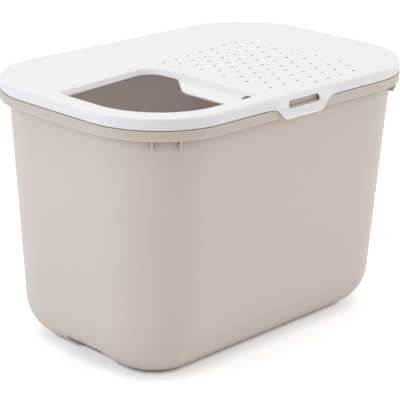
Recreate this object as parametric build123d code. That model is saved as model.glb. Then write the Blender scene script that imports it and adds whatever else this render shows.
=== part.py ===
from build123d import *
import os
from math import cos, radians, tan

# Top entry litter box: a deep moulded tub, a perforated lid that lifts off, and two snap clips.
# Millimetres, +Z up, +X along the long side, and the front (one clip, the low end of the lid's
# entry) faces -Y. The origin is on the ground under the middle of the box.

# ---------------------------------------------------------------- driving dimensions
rim_length = 585.0
rim_width = 390.0
rim_corner_radius = 123.0
total_height = 395.0

# tub
wall = 2.4
floor_thickness = 3.0
draft_angle = 3.55
bottom_round = 64.0
flange_reach = 13.7
rim_wall = 2.2
rim_band_height = 13.8
rim_edge_round = 0.9
rest_ring_width = 22.0
rest_ring_height = 1.2
rest_ring_corner_radius = 12.0

# gussets under the rim, two at each corner
gusset_thickness = 2.2
gusset_drop = 14.0
gusset_taper = 5.0
gusset_angles = (43.5, 62.0)

# finger recess under each short end; its depth is measured from the rim's end
recess_length = 78.0
recess_centre_y = -8.0
recess_height = 27.0
recess_depth = 78.5
recess_round = 5.0

# lid
lid_plate = 2.5
lid_skirt = 2.2
lid_skirt_height = 16.8
lid_inset = 1.0
lid_edge_round = 4.0
lid_lower_round = 0.6
seat_gap = 0.3
lip_clearance = 0.6
skirt_gap = 1.0

# entry opening in the lid, measured on its inner wall; its insets are from the rim's faces
entry_inset = 26.5
entry_length = 199.5
entry_width = 202.5
entry_rear_tilt = 6.7
entry_front_radius = 107.5
entry_corner_radius = 12.0
entry_rear_radius = 31.0
entry_edge_round = 2.5
collar_wall = 2.2
collar_depth = 8.3
collar_lean = 3.5

# step at the right-hand side of the entry
step_reach = 37.5
step_wall_slope = 38.0
step_wall_drop = 11.5
step_drop = 12.5
step_thickness = 2.2
step_rear_gap = 41.0
step_bend_gap = 52.0
step_bend_radius = 22.0
step_corner_gap = 91.0
step_corner_radius = 26.0
step_foot_round = 12.0
drain_diameter = 24.0
drain_top_gap = 5.0
drain_front_gap = 17.0

# perforated field: staggered rows, each a little steeper than the one before it
hole_diameter = 6.0
hole_half_pitch = 14.76
row_pitch = 22.5
first_row_inset = 20.3
field_gap = 67.5
first_row_rise = 0.62
row_rise_step = 0.12
hole_rows = 11

# snap clips
clip_centre_x = -5.5
clip_wall = 2.0
clip_clearance = 0.6
clip_bottom_half = 35.0
clip_top_half = 58.8
clip_drop = 18.4
clip_bottom_round = 8.0
clip_flare_round = 8.0
clip_flare_run = 10.0
clip_lip_height = 6.0
clip_lip_flare = 1.4
clip_seam = 0.3
slot_length = 65.0
slot_height = 11.0
slot_above_seam = 2.8
hook_length = 52.0
hook_height = 3.2
hook_reach = 2.4
hook_gap = 0.5
hook_nose_reach = 0.95
hook_nose_height = 0.95
bulge_flat_half = 50.0
bulge_end_half = 76.0
bulge_height = 13.0

# how far a cutting body runs past the face that it cuts, and the overlap that joins two solids
past = 1.0
overlap = 0.4
hair = 0.01

# ---------------------------------------------------------------- heights and insets
skirt_bottom = total_height - lid_skirt_height
ledge_top = skirt_bottom - skirt_gap
band_bottom = ledge_top - rim_band_height
lip_top = total_height - lid_plate - seat_gap
lip_inset = lid_inset + lid_skirt + lip_clearance
slope = tan(radians(draft_angle))
collar_bottom = total_height - collar_depth
skirt_face = rim_width / 2 - lid_inset
clip_inner = rim_width / 2 + clip_clearance
clip_outer = clip_inner + clip_wall
clip_bottom = skirt_bottom - clip_drop
recess_reach = rim_length / 2 - recess_depth
entry_left_x = entry_inset - rim_length / 2
entry_right_x = entry_left_x + entry_length
entry_front_y = entry_inset - rim_width / 2
entry_rear_y = entry_front_y + entry_width
step_rear_y = entry_rear_y - step_rear_gap
step_bend_y = entry_rear_y - step_bend_gap
step_corner_y = entry_rear_y - step_corner_gap
first_row_y = first_row_inset - rim_width / 2
first_hole_x = entry_right_x + field_gap


def wall_inset(z):
    """Inset of the tub's outer wall from the rim's outer face at height z."""
    return flange_reach - (z - band_bottom) * slope


def rim_outline(inset, z):
    """The rim's plan outline, inset all round, as a face at height z."""
    size = RectangleRounded(
        rim_length - 2 * inset, rim_width - 2 * inset, rim_corner_radius - inset
    )
    return Pos(0, 0, z) * size


def rim_prism(inset, low, high):
    """A straight prism on the rim's plan outline."""
    return extrude(rim_outline(inset, low), high - low)


def drafted_body(extra_inset, low, high, bottom_radius):
    """A drafted body that follows the tub's wall, with a large round all along its bottom."""
    body = loft(
        [
            rim_outline(wall_inset(low) + extra_inset, low),
            rim_outline(wall_inset(high) + extra_inset, high),
        ]
    )
    return fillet(body.edges().group_by(Axis.Z)[0], bottom_radius)


def plan_prism(outline, low, high):
    """A prism on a closed plan outline."""
    return extrude(make_face(Pos(0, 0, low) * outline), high - low)


# ---------------------------------------------------------------- tub
def recess_block(grow):
    """The space of the left finger recess, grown outward by a wall."""
    inner_x = -(recess_reach - grow)
    outer_x = -rim_length / 2
    half = recess_length / 2 + grow
    top = recess_height + grow
    block = Pos(0, recess_centre_y, 0) * Box(
        inner_x - outer_x, 2 * half, 2 * top, align=(Align.MIN, Align.CENTER, Align.CENTER)
    )
    block = Pos(outer_x, 0, 0) * block
    top_edges = [
        edge
        for edge in block.edges().group_by(Axis.Z)[-1]
        if edge.center().X > outer_x + past
    ]
    inner_corners = block.edges().filter_by(Axis.Z).group_by(Axis.X)[-1]
    return fillet(top_edges + inner_corners, recess_round + grow)


def both_ends(solid):
    """A solid and its mirror image at the other short end."""
    return [solid, mirror(solid, about=Plane.YZ)]


def gusset(angle, side_x, side_y):
    """One vertical plate between the wall and the rim band, on a corner's radius."""
    corner_x = rim_length / 2 - rim_corner_radius
    corner_y = rim_width / 2 - rim_corner_radius
    low = band_bottom - gusset_drop
    high = ledge_top - rim_wall / 2
    inner = rim_corner_radius - wall_inset(low) - wall / 2
    outer = rim_corner_radius - rim_wall / 2
    profile = Polyline(
        (inner, low),
        (outer - gusset_taper, low),
        (outer, band_bottom),
        (outer, high),
        (inner, high),
        close=True,
    )
    plate = extrude(Plane.XZ * make_face(profile), gusset_thickness / 2, both=True)
    plate = Pos(corner_x, corner_y, 0) * Rot(0, 0, angle) * plate
    if side_x < 0:
        plate = mirror(plate, about=Plane.YZ)
    if side_y < 0:
        plate = mirror(plate, about=Plane.XZ)
    return plate


def make_tub():
    ledge = rim_prism(0, band_bottom, ledge_top)
    band_edges = ledge.edges().group_by(Axis.Z)
    ledge = fillet(band_edges[0] + band_edges[-1], rim_edge_round)
    lip = rim_prism(lip_inset, ledge_top - rim_wall, lip_top)
    lip = fillet(lip.edges().group_by(Axis.Z)[-1], rim_edge_round)
    rim = ledge + lip
    rim -= rim_prism(rim_wall, band_bottom - past, ledge_top - rim_wall)
    rim -= rim_prism(lip_inset + rim_wall, band_bottom, lip_top - rim_wall)

    body = drafted_body(0, 0, lip_top, bottom_round)
    cavity = drafted_body(wall, floor_thickness, total_height, bottom_round - wall)
    for block in both_ends(recess_block(0)):
        body -= block
    for block in both_ends(recess_block(wall)):
        cavity -= block

    tub = body + rim
    for angle in gusset_angles:
        for side_x in (-1, 1):
            for side_y in (-1, 1):
                tub += gusset(angle, side_x, side_y)
    tub -= cavity

    ring_inset = wall_inset(0) + bottom_round + rest_ring_width
    ring_hollow = RectangleRounded(
        rim_length - 2 * ring_inset, rim_width - 2 * ring_inset, rest_ring_corner_radius
    )
    tub -= extrude(ring_hollow, rest_ring_height, both=True)
    return tub


# ---------------------------------------------------------------- lid
def entry_outline(grow, right_grow):
    """The entry opening's closed plan outline, grown outward all round."""
    rise = tan(radians(entry_rear_tilt))
    left = entry_left_x - grow
    right = entry_right_x + right_grow
    front = entry_front_y - grow
    middle = (entry_left_x + entry_right_x) / 2
    rear = entry_rear_y + grow / cos(radians(entry_rear_tilt))
    return FilletPolyline(
        (left, front),
        (right, front),
        (right, rear + (right - middle) * rise),
        (left, rear + (left - middle) * rise),
        radius=[
            entry_front_radius + grow,
            entry_corner_radius + grow,
            entry_rear_radius + grow,
            entry_corner_radius + grow,
        ],
        close=True,
    )


def make_funnel(wall_around, low, high):
    """The collar as a solid funnel: its right side leans as the step's wall does."""
    right_wall = wall_around / cos(radians(step_wall_slope))
    faces = []
    for z in (low, high):
        depth = total_height - z
        lean = collar_lean * depth / collar_depth
        right_lean = depth * tan(radians(step_wall_slope))
        outline = entry_outline(wall_around - lean, right_wall - right_lean)
        faces.append(Pos(0, 0, z) * make_face(outline))
    return loft(faces)


def make_step():
    """The step: a leaning wall under the entry's right edge and a nearly level tread."""
    under = step_thickness / cos(radians(step_wall_slope))
    right = entry_right_x + under
    foot_x = entry_right_x - step_wall_drop * tan(radians(step_wall_slope))
    bend_x = entry_right_x - collar_depth * tan(radians(step_wall_slope))
    edge_x = entry_right_x - step_reach
    top = total_height
    foot_z = top - step_wall_drop
    edge_z = top - step_drop
    profile = Polyline(
        (entry_right_x, top),
        (foot_x, foot_z),
        (edge_x - past, edge_z),
        (edge_x - past, edge_z - step_thickness),
        (foot_x + step_thickness / 2, foot_z - step_thickness),
        (right, top),
        close=True,
    )
    length = entry_rear_y - entry_front_y + 2 * collar_wall
    prism = extrude(Plane.XZ * make_face(profile), length)
    prism = Pos(0, entry_rear_y + collar_wall, 0) * prism
    foot = prism.edges().filter_by(Axis.Y).sort_by_distance((foot_x, 0, foot_z))[0]
    prism = fillet(foot, step_foot_round)

    plan = FilletPolyline(
        (right, entry_front_y - collar_wall),
        (right, step_rear_y),
        (bend_x + under, step_rear_y),
        (bend_x, step_bend_y),
        (edge_x, step_corner_y),
        (edge_x, entry_front_y - collar_wall),
        radius=[hair, hair, hair, step_bend_radius, step_corner_radius, hair],
        close=True,
    )
    return prism & plan_prism(plan, 0, top)


def hole_centres():
    """Staggered rows that fan out a little towards the back of the lid."""
    last_row = hole_rows - 1
    for row in range(hole_rows):
        if row == 0:
            steps = range(3, 11, 2)
        elif row == last_row:
            steps = range(-3, 11, 2)
        elif row % 2:
            steps = range(-2, 12, 2)
        else:
            steps = range(-1, 13, 2)
        for step in steps:
            x = first_hole_x + step * hole_half_pitch
            rise = first_row_rise + row_rise_step * row
            y = first_row_y + row * row_pitch + step * rise
            yield x, y


def bulge_section(front_y, flat_y, back_y, half, z):
    """Plan section of the skirt's bulge over a clip: straight, with an S-curve at each end."""
    left = Spline(
        (-half, flat_y), (-bulge_flat_half, front_y), tangents=[(1, 0, 0), (1, 0, 0)]
    )
    middle = Line((-bulge_flat_half, front_y), (bulge_flat_half, front_y))
    right = Spline(
        (bulge_flat_half, front_y), (half, flat_y), tangents=[(1, 0, 0), (1, 0, 0)]
    )
    back = Polyline((half, flat_y), (half, back_y), (-half, back_y), (-half, flat_y))
    return Pos(0, 0, z) * make_face([left, middle, right, back])


def make_bulge():
    """The front skirt leans out over the rim band where the clip hangs from it."""
    back = -(skirt_face - lid_skirt)
    top = skirt_bottom + bulge_height
    outer = loft(
        [
            bulge_section(-clip_outer, -skirt_face, back, bulge_end_half, skirt_bottom),
            bulge_section(-skirt_face, -skirt_face + hair, back, bulge_end_half, top),
        ]
    )
    return outer


def make_bulge_hollow():
    """The space behind the bulge, so that it keeps the clip's wall thickness."""
    flat = -(skirt_face - lid_skirt)
    back = flat + past
    low = skirt_bottom - hair
    top = skirt_bottom + bulge_height
    return loft(
        [
            bulge_section(-clip_inner, flat, back, bulge_end_half, low),
            bulge_section(flat - 2 * hair, flat, back, bulge_end_half, top),
        ]
    )


def slot_cutter():
    """The clip's finger slot as a long rounded bar through the front skirt."""
    centre_z = skirt_bottom - slot_above_seam + slot_height / 2
    pill = Plane.XZ * Pos(0, centre_z, 0) * SlotOverall(slot_length, slot_height)
    return Pos(0, -skirt_face, 0) * extrude(pill, 3 * lip_inset, both=True)


def front_and_back(solid):
    """A solid made about X = 0, moved to the front clip's place, and its image at the rear."""
    placed = Pos(clip_centre_x, 0, 0) * solid
    return [placed, mirror(placed, about=Plane.XZ)]


def make_lid():
    lid = rim_prism(lid_inset, skirt_bottom, total_height)
    lid = fillet(lid.edges().group_by(Axis.Z)[-1], lid_edge_round)
    lid = fillet(lid.edges().group_by(Axis.Z)[0], lid_lower_round)
    hollow = rim_prism(lid_inset + lid_skirt, skirt_bottom - past, total_height - lid_plate)
    hollow = fillet(hollow.edges().group_by(Axis.Z)[-1], lid_edge_round - lid_skirt)
    lid -= hollow
    for bulge in front_and_back(make_bulge()):
        lid += bulge
    for space in front_and_back(make_bulge_hollow()):
        lid -= space

    collar_top = total_height - overlap
    lid += make_funnel(collar_wall, collar_bottom, collar_top)
    lid -= make_funnel(0, collar_bottom - past, total_height + past)
    entry_edges = lid.edges().filter_by(
        lambda edge: abs(edge.center().Z - total_height) < hair
        and edge.bounding_box().max.X < entry_right_x + past
        and edge.bounding_box().min.X > entry_left_x - past
    )
    lid = fillet(entry_edges, entry_edge_round)
    lid += make_step()
    drain_left_x = entry_right_x - step_wall_drop * tan(radians(step_wall_slope))
    drain_y = entry_front_y + drain_front_gap
    drain_z = total_height - drain_top_gap - drain_diameter / 2
    drain = Cylinder(drain_diameter / 2, entry_right_x + 2 * collar_wall - drain_left_x)
    drain_x = (entry_right_x + 2 * collar_wall + drain_left_x) / 2
    lid -= Pos(drain_x, drain_y, drain_z) * Rot(0, 90, 0) * drain

    holes = [
        Pos(x, y, total_height) * Cylinder(hole_diameter / 2, 4 * lid_plate)
        for x, y in hole_centres()
    ]
    lid -= holes
    for slot in front_and_back(slot_cutter()):
        lid -= slot
    return lid


# ---------------------------------------------------------------- clips
def make_clip():
    """The front clip, made about X = 0: a flared tab with a hook behind it."""
    top = skirt_bottom - clip_seam
    lip_z = clip_bottom + clip_lip_height
    hook_top = band_bottom - hook_gap
    side = clip_top_half + clip_flare_run
    profile = Polyline(
        (-clip_inner, top),
        (-clip_outer, top),
        (-clip_outer, lip_z),
        (-clip_outer - clip_lip_flare, clip_bottom),
        (-clip_inner - clip_lip_flare, clip_bottom),
        (-clip_inner, lip_z),
        close=True,
    )
    bar = extrude(Plane.YZ * make_face(profile), side, both=True)
    outline = FilletPolyline(
        (-side, skirt_bottom + past),
        (-side, skirt_bottom),
        (-clip_top_half, skirt_bottom),
        (-clip_bottom_half, clip_bottom),
        (clip_bottom_half, clip_bottom),
        (clip_top_half, skirt_bottom),
        (side, skirt_bottom),
        (side, skirt_bottom + past),
        radius=[
            hair,
            hair,
            clip_flare_round,
            clip_bottom_round,
            clip_bottom_round,
            clip_flare_round,
            hair,
            hair,
        ],
        close=True,
    )
    clip = bar & extrude(Plane.XZ * make_face(outline), rim_width)
    hook_profile = Polyline(
        (-clip_inner - clip_lip_flare, clip_bottom + overlap),
        (-clip_inner + hook_nose_reach, hook_top - hook_height),
        (-clip_inner + hook_reach, hook_top - hook_nose_height),
        (-clip_inner + hook_reach, hook_top),
        (-clip_inner - overlap, hook_top),
        close=True,
    )
    clip += extrude(Plane.YZ * make_face(hook_profile), hook_length / 2, both=True)
    clip -= slot_cutter()
    return clip


# ---------------------------------------------------------------- write the pieces
def main():
    os.makedirs("parts", exist_ok=True)
    front_clip, rear_clip = front_and_back(make_clip())
    pieces = {
        "tub": make_tub(),
        "lid": make_lid(),
        "front_clip": front_clip,
        "rear_clip": rear_clip,
    }
    for name, piece in pieces.items():
        export_step(piece, f"parts/{name}.step")


main()
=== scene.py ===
import math

import bmesh
import bpy
from mathutils import Matrix, Vector


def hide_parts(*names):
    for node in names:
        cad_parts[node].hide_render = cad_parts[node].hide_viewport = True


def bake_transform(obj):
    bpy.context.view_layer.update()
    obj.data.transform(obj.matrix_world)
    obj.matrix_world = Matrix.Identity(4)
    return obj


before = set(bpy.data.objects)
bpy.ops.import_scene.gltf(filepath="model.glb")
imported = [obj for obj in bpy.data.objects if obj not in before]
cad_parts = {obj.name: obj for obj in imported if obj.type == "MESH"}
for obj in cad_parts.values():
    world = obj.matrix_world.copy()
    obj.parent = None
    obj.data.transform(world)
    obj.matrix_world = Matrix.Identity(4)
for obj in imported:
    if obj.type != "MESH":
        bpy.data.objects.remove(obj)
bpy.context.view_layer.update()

# ------------------------------------------------------------------ camera
# A long lens a little above the box, looking at its left short side and its front long side.
# The distance is in metres and the angles are in degrees.
view_azimuth = math.radians(-45.771)
view_elevation = math.radians(19.385)
view_roll = math.radians(1.173)
view_distance = 2.3183
view_target = Vector((-0.0062, 0.0, 0.1755))
back = Vector((
    math.sin(view_azimuth) * math.cos(view_elevation),
    -math.cos(view_azimuth) * math.cos(view_elevation),
    math.sin(view_elevation),
))
level_right = (-back).cross(Vector((0, 0, 1))).normalized()
level_up = level_right.cross(-back)
right = level_right * math.cos(view_roll) + level_up * math.sin(view_roll)
up = level_up * math.cos(view_roll) - level_right * math.sin(view_roll)
camera_data = bpy.data.cameras.new("camera")
camera_data.lens = 138.15
camera_data.sensor_width = 36
camera_data.shift_y = 0.015
camera_data.clip_end = 100
camera = bpy.data.objects.new("camera", camera_data)
camera.matrix_world = Matrix.Translation(view_target + back * view_distance) @ Matrix(
    (right, up, back)
).transposed().to_4x4()
bpy.context.scene.collection.objects.link(camera)
bpy.context.scene.camera = camera
bpy.context.scene.view_settings.view_transform = "Standard"


# ------------------------------------------------------------------ studio
# A white floor under a plain soft sky, with softboxes above, to the left and to the right, and a
# dim one under the lid for the light that comes through its white plate. The floor keeps the box's
# shadow, and a painted shadow darkens it further along the foot.
class Value:
    """A shader value: a number, or a node's output, with the usual operators."""

    def __init__(self, shader, socket):
        self.shader = shader
        self.socket = socket

    def join(self, operation, first, second):
        node = self.shader.add("Math", {"operation": operation}, {0: first, 1: second})
        return node[0]

    def __add__(self, other):
        return self.join("ADD", self, other)

    def __radd__(self, other):
        return self.join("ADD", other, self)

    def __sub__(self, other):
        return self.join("SUBTRACT", self, other)

    def __rsub__(self, other):
        return self.join("SUBTRACT", other, self)

    def __mul__(self, other):
        return self.join("MULTIPLY", self, other)

    def __rmul__(self, other):
        return self.join("MULTIPLY", other, self)

    def __truediv__(self, other):
        return self.join("DIVIDE", self, other)

    def __pow__(self, other):
        return self.join("POWER", self, other)


class Shader:
    """A material's or a world's node tree, emptied, to which nodes are added one at a time."""

    def __init__(self, owner):
        owner.use_nodes = True
        self.tree = owner.node_tree
        self.tree.nodes.clear()

    def add(self, kind, settings=None, sockets=None):
        node = self.tree.nodes.new("ShaderNode" + kind)
        for name, setting in (settings or {}).items():
            if name == "stops":
                ramp = node.color_ramp
                while len(ramp.elements) < len(setting):
                    ramp.elements.new(0.5)
                for stop, (place, colour) in zip(ramp.elements, setting):
                    stop.position = place
                    stop.color = colour
            else:
                setattr(node, name, setting)
        for name, value in (sockets or {}).items():
            if isinstance(value, Value):
                self.tree.links.new(value.socket, node.inputs[name])
            else:
                node.inputs[name].default_value = value
        return [Value(self, output) for output in node.outputs]


def new_material(name):
    material = bpy.data.materials.new(name)
    return material, Shader(material)


def plain_lamp(name, place, aim, size, power, colour=(1, 1, 1)):
    lamp_data = bpy.data.lights.new(name, "AREA")
    lamp_data.shape = "RECTANGLE"
    lamp_data.size, lamp_data.size_y = size
    lamp_data.energy = power
    lamp_data.color = colour
    lamp = bpy.data.objects.new(name, lamp_data)
    lamp.location = place
    lamp.rotation_euler = (Vector(aim) - Vector(place)).to_track_quat("-Z", "Y").to_euler()
    bpy.context.scene.collection.objects.link(lamp)


sky_level = 0.66
world = bpy.data.worlds.new("studio_sky")
bpy.context.scene.world = world
sky = Shader(world)
seen = sky.add("LightPath")[0]
strength = sky_level + seen * (1 - sky_level)
light = sky.add("Background", {}, {"Color": (1, 0.99, 0.975, 1), "Strength": strength})[0]
sky.add("OutputWorld", {}, {"Surface": light})

plain_lamp("top_softbox", (0.0, 0.2, 2.6), (0, 0, 0.2), (2.6, 2.6), 29.5, (0.98, 1.0, 1.02))
plain_lamp("left_softbox", (-2.0, 0.75, 0.8), (-0.2, 0, 0.2), (1.0, 1.2), 8.8, (0.87, 1.0, 1.22))
plain_lamp("right_softbox", (4.0, -2.3, 1.2), (0.2, 0, 0.2), (2.0, 2.4), 44, (0.93, 1.0, 1.04))
plain_lamp(
    "light_through_lid", (0.02, 0.0, 0.372), (0.02, 0, 0), (0.44, 0.28), 0.23, (0.96, 1.0, 1.16)
)

floor_size = 40
foot_shadow_reach = 0.006
foot_shadow = (0.42, 0.40, 0.39, 1)
floor_paint = (0.93, 0.93, 0.93, 1)
floor_glow = 0.34
bpy.ops.object.select_all(action="DESELECT")
bpy.ops.mesh.primitive_plane_add(size=floor_size, location=(0, 0, 0))
floor = bpy.context.object
floor.name = "floor"
floor_white, paint = new_material("floor_white")
seen = paint.add("LightPath")[0]
# painted shadow: ambient occlusion darkens the floor's colour and dims its glow along the foot
open_air = paint.add("AmbientOcclusion", {"samples": 16}, {"Distance": foot_shadow_reach})[1]
white = paint.add("Mix", {"data_type": "RGBA"}, {0: open_air, 6: foot_shadow, 7: floor_paint})[2]
matt = paint.add("BsdfDiffuse", {}, {"Color": white})[0]
shine = seen * open_air * floor_glow
glow = paint.add("Emission", {}, {"Color": (1, 1, 1, 1), "Strength": shine})[0]
lit = paint.add("AddShader", {}, {0: matt, 1: glow})[0]
paint.add("OutputMaterial", {}, {"Surface": lit})
floor.data.materials.append(floor_white)


# ------------------------------------------------------------------ tub
# One deep shell with its rim, gussets and finger recesses, injection moulded in warm beige
# polypropylene. Its mould is lightly spark-eroded, which leaves a fine satin grain. The outside of
# the rim's band, under the lid's skirt, carries painted shade.
def moulded_plastic(
    name,
    colour,
    shade,
    edge_painted_highlight,
    band_painted_shade,
    roughness,
    grain,
    glow_through,
    depth,
    edge_round,
    edge_highlight_width,
    corner_shade_reach,
    corner_shade_depth,
):
    """Satin polypropylene: a faint random drift of tone, a fine mould grain, slow waves in the
    wall, a painted highlight along the edges, painted shade in the inner corners and on the rim
    band.
    """
    wave_height = 0.00012
    band_foot = 0.3640
    band_start = 0.3665
    # colour of the painted shade that darkens the inner corners
    corner_painted_shade = (0.50, 0.46, 0.42, 1)
    material, paint = new_material(name)
    place = paint.add("TexCoord")[3]
    drift = paint.add(
        "TexNoise", {}, {"Vector": place, "Scale": 3.1, "Detail": 3.0, "Roughness": 0.5}
    )[0]
    speck = paint.add(
        "TexNoise", {}, {"Vector": place, "Scale": 900.0, "Detail": 2.0, "Roughness": 0.6}
    )[0]
    pits = paint.add(
        "TexNoise", {}, {"Vector": place, "Scale": 1500.0, "Detail": 3.0, "Roughness": 0.7}
    )[0]
    waves = paint.add(
        "TexNoise", {}, {"Vector": place, "Scale": 7.0, "Detail": 1.0, "Roughness": 0.4}
    )[0]
    amount = (drift - 0.5) * 0.55 + (speck - 0.5) * 0.35 + 0.5
    tone = paint.add(
        "Mix",
        {"data_type": "RGBA"},
        {0: amount, 6: (*shade, 1), 7: (*colour, 1)},
    )[2]
    facing = paint.add("NewGeometry")[1]
    outward = paint.add("VectorMath", {"operation": "DOT_PRODUCT"}, {0: facing, 1: place})[1]
    outside = paint.add("Math", {"operation": "GREATER_THAN"}, {0: outward, 1: 0.0})[0]
    height = paint.add("SeparateXYZ", {}, {0: place})[2]
    # painted shade: the outward faces of the rim's band, under the lid's skirt, are multiplied by
    # the band colour
    in_band = paint.add(
        "MapRange",
        {"interpolation_type": "SMOOTHSTEP"},
        {"Value": height, "From Min": band_foot, "From Max": band_start},
    )[0]
    tone = paint.add(
        "Mix",
        {"data_type": "RGBA", "blend_type": "MULTIPLY"},
        {0: in_band * outside, 6: tone, 7: (*band_painted_shade, 1)},
    )[2]
    relief = pits * grain + waves * wave_height
    soft_edges = paint.add("Bevel", {"samples": 8}, {"Radius": edge_round})[0]
    # painted highlight: a wider bevel finds the edges, and the colour is lightened there
    around = paint.add("Bevel", {"samples": 8}, {"Radius": edge_highlight_width})[0]
    alike = paint.add("VectorMath", {"operation": "DOT_PRODUCT"}, {0: around, 1: facing})[1]
    edge_highlight_mask = paint.add("Math", {"operation": "MINIMUM"}, {0: (1 - alike) * 6, 1: 1.0})[0]
    tone = paint.add(
        "Mix", {"data_type": "RGBA"}, {0: edge_highlight_mask, 6: tone, 7: (*edge_painted_highlight, 1)}
    )[2]
    # painted shade: ambient occlusion darkens the inner corners and the crevices under the rim
    open_air = paint.add(
        "AmbientOcclusion", {"samples": 12, "only_local": True}, {"Distance": corner_shade_reach}
    )[1]
    tone = paint.add(
        "Mix",
        {"data_type": "RGBA", "blend_type": "MULTIPLY"},
        {0: (1 - open_air) * corner_shade_depth, 6: tone, 7: corner_painted_shade},
    )[2]
    bump = paint.add(
        "Bump",
        {},
        {"Strength": 1.0, "Distance": 1.0, "Height": relief, "Normal": soft_edges},
    )[0]
    gloss = (drift - 0.5) * 0.10 + (speck - 0.5) * 0.06 + roughness
    surface = paint.add(
        "BsdfPrincipled",
        {},
        {
            "Base Color": tone,
            "Roughness": gloss,
            "IOR": 1.49,
            "Normal": bump,
            "Subsurface Weight": glow_through,
            "Subsurface Radius": (1.0, 0.85, 0.75),
            "Subsurface Scale": depth,
        },
    )[0]
    paint.add("OutputMaterial", {}, {"Surface": surface})
    return material


# The edge colour is a painted highlight, and the band and corner colours are painted shade.
tub_plastic = moulded_plastic(
    "tub_plastic",
    colour=(0.672, 0.592, 0.530),
    shade=(0.642, 0.560, 0.498),
    edge_painted_highlight=(0.72, 0.64, 0.57),
    band_painted_shade=(0.91, 0.915, 0.90),
    roughness=0.42,
    grain=0.00003,
    glow_through=0.35,
    depth=0.0008,
    edge_round=0.0008,
    edge_highlight_width=0.0020,
    corner_shade_reach=0.022,
    corner_shade_depth=0.9,
)
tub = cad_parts["tub"]
tub.data.materials.clear()
tub.data.materials.append(tub_plastic)

# ------------------------------------------------------------------ lid
# One white polypropylene moulding that drops over the rim: a flat plate with a skirt, the cat's
# entry with its step and drain notch, and the perforated field that knocks litter off the paws.
# The edge colour is a painted highlight, and the band and corner colours are painted shade.
lid_plastic = moulded_plastic(
    "lid_plastic",
    colour=(0.825, 0.81, 0.81),
    shade=(0.807, 0.792, 0.792),
    edge_painted_highlight=(0.96, 0.94, 0.92),
    band_painted_shade=(1, 1, 1),
    roughness=0.42,
    grain=0.00002,
    glow_through=0.4,
    depth=0.0016,
    edge_round=0.0013,
    edge_highlight_width=0.0030,
    corner_shade_reach=0.010,
    corner_shade_depth=0.35,
)
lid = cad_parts["lid"]
lid.data.materials.clear()
lid.data.materials.append(lid_plastic)

# ------------------------------------------------------------------ clips
# A snap tab hangs under the skirt near the middle of each long side, moulded in one with it. It
# bends at its root, flares a little towards its lower lip, and a ledge behind it hooks the rim.
tab_centre_x = -0.0055
tab_face = 0.1976
tab_thickness = 0.0014
tab_root = 0.3782
tab_bottom = 0.3612
tab_bottom_half = 0.0385
tab_root_half = 0.0560
tab_corner_round = 0.0135
tab_flare = 0.0014
tab_flare_height = 0.0055
bulge_flat_half = 0.050
bulge_end_half = 0.076
bulge_lean = 0.277
bulge_depth = 0.0036
tab_rows = 26
tab_columns = 132
slot_flat_half = 0.027
slot_round = 0.0056
slot_bottom = 0.3753
root_step_in = 0.00024
root_step_up = 0.0004
root_rise = 0.0011
tab_edge_round = 0.0006
ledge_middle = Vector((tab_centre_x, -0.1951, 0.3628))
ledge_size = (0.052, 0.0038, 0.0032)
ledge_slope = 0.0018
ledge_edge_round = 0.0003


def edit_selected(piece, chosen, action):
    """Run an edit-mode action on the vertices of the piece whose place passes a test."""
    bpy.ops.object.select_all(action="DESELECT")
    bpy.context.view_layer.objects.active = piece
    piece.select_set(True)
    bpy.ops.object.mode_set(mode="EDIT")
    bpy.ops.mesh.select_mode(type="VERT")
    mesh = bmesh.from_edit_mesh(piece.data)
    for vertex in mesh.verts:
        vertex.select_set(bool(chosen(vertex.co)))
    mesh.select_flush_mode()
    bmesh.update_edit_mesh(piece.data)
    action()
    bpy.ops.object.mode_set(mode="OBJECT")


def tab_half_width(height):
    """Half the tab's width at a height over its lower edge: a rounded corner, a slanted side
    and a concave sweep into the skirt."""
    rise = tab_root - tab_bottom
    slant = math.atan2(rise, tab_root_half - tab_bottom_half)
    tangent = tab_corner_round * math.tan(slant / 2)
    corner = tangent * math.sin(slant)
    drop = rise - height
    if height < corner:
        run = math.sqrt(tab_corner_round**2 - (tab_corner_round - height) ** 2)
        return tab_bottom_half - tangent + run
    if drop < corner:
        run = math.sqrt(tab_corner_round**2 - (tab_corner_round - max(drop, 0)) ** 2)
        return tab_root_half + tangent - run
    return tab_bottom_half + height / math.tan(slant)


def tab_top(across):
    """The tab's upper edge at a distance from its middle: the skirt, or the finger slot's floor."""
    beyond = max(abs(across) - slot_flat_half, 0.0)
    if beyond >= slot_round:
        return tab_root
    floor_height = slot_bottom + slot_round - math.sqrt(slot_round**2 - beyond**2)
    return min(floor_height, tab_root)


def bulge_offset(across):
    """How far the face falls back at a distance from the tab's middle, as the bulge's ends do."""
    share = (abs(across) - bulge_flat_half) / (bulge_end_half - bulge_flat_half)
    share = min(max(share, 0.0), 1.0)
    return bulge_depth * share * share * (3 - 2 * share)


bpy.ops.object.select_all(action="DESELECT")
bpy.ops.mesh.primitive_grid_add(
    x_subdivisions=tab_columns,
    y_subdivisions=tab_rows,
    size=2,
    location=(0, 0, 0),
    rotation=(math.radians(90), 0, 0),
)
front_tab = bpy.context.object
front_tab.name = "front_tab"
bpy.ops.object.transform_apply(location=True, rotation=True, scale=True)
rise = tab_root - tab_bottom
for vertex in front_tab.data.vertices:
    share = (vertex.co.z + 1) / 2
    swell = 0.5 - 0.5 * math.cos(math.pi * share)
    height = rise * (0.35 * share + 0.65 * swell)
    across = vertex.co.x * tab_half_width(height)
    height *= (tab_top(across) - tab_bottom) / rise
    flare = tab_flare * max(1 - height / tab_flare_height, 0) ** 1.6
    vertex.co = (
        tab_centre_x + across,
        -tab_face + bulge_offset(across) - flare,
        tab_bottom + height,
    )


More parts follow.
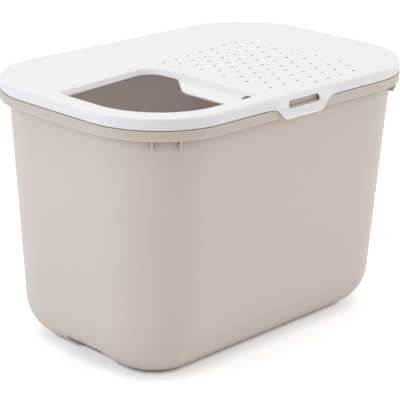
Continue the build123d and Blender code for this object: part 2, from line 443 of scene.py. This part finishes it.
def raise_root():
    """Carry the tab's top edge up behind the skirt's face, along the lean of the bulge."""
    bpy.ops.mesh.extrude_edges_move(
        TRANSFORM_OT_translate={"value": (0, root_step_in, root_step_up)}
    )
    bpy.ops.mesh.extrude_edges_move(
        TRANSFORM_OT_translate={"value": (0, root_rise * bulge_lean, root_rise)}
    )


edit_selected(front_tab, lambda place: place.z > tab_root - 1e-6, raise_root)
wall = front_tab.modifiers.new("wall", "SOLIDIFY")
wall.thickness = tab_thickness
wall.offset = -1 if front_tab.data.polygons[0].normal.y < 0 else 1
bpy.ops.object.modifier_apply(modifier="wall")
edit_selected(
    front_tab, lambda place: True, lambda: bpy.ops.mesh.normals_make_consistent(inside=False)
)
edges = front_tab.modifiers.new("edges", "BEVEL")
edges.width = tab_edge_round
edges.segments = 3
edges.limit_method = "ANGLE"
edges.angle_limit = math.radians(38)
bpy.ops.object.modifier_apply(modifier="edges")

bpy.ops.object.select_all(action="DESELECT")
bpy.ops.mesh.primitive_cube_add(size=1, location=ledge_middle)
ledge = bpy.context.object
ledge.scale = ledge_size
bpy.ops.object.transform_apply(location=True, rotation=True, scale=True)
edit_selected(
    ledge,
    lambda place: place.z < ledge_middle.z and place.y > ledge_middle.y,
    lambda: bpy.ops.mesh.bevel(offset=ledge_slope, segments=1, affect="EDGES"),
)
ledge_edges = ledge.modifiers.new("edges", "BEVEL")
ledge_edges.width = ledge_edge_round
ledge_edges.segments = 2
bpy.ops.object.modifier_apply(modifier="edges")
bpy.ops.object.select_all(action="DESELECT")
ledge.select_set(True)
front_tab.select_set(True)
bpy.context.view_layer.objects.active = front_tab
bpy.ops.object.join()
bpy.ops.object.shade_smooth_by_angle(angle=math.radians(40))
front_tab.data.materials.clear()
front_tab.data.materials.append(lid_plastic)

rear_tab = front_tab.copy()
rear_tab.data = front_tab.data.copy()
rear_tab.name = "rear_tab"
bpy.context.scene.collection.objects.link(rear_tab)
rear_tab.data.transform(Matrix.Scale(-1, 4, Vector((0, 1, 0))))
rear_tab.data.flip_normals()

for tab, clip, side in ((front_tab, "front_clip", -1), (rear_tab, "rear_clip", 1)):
    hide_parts(clip)
    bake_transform(tab)
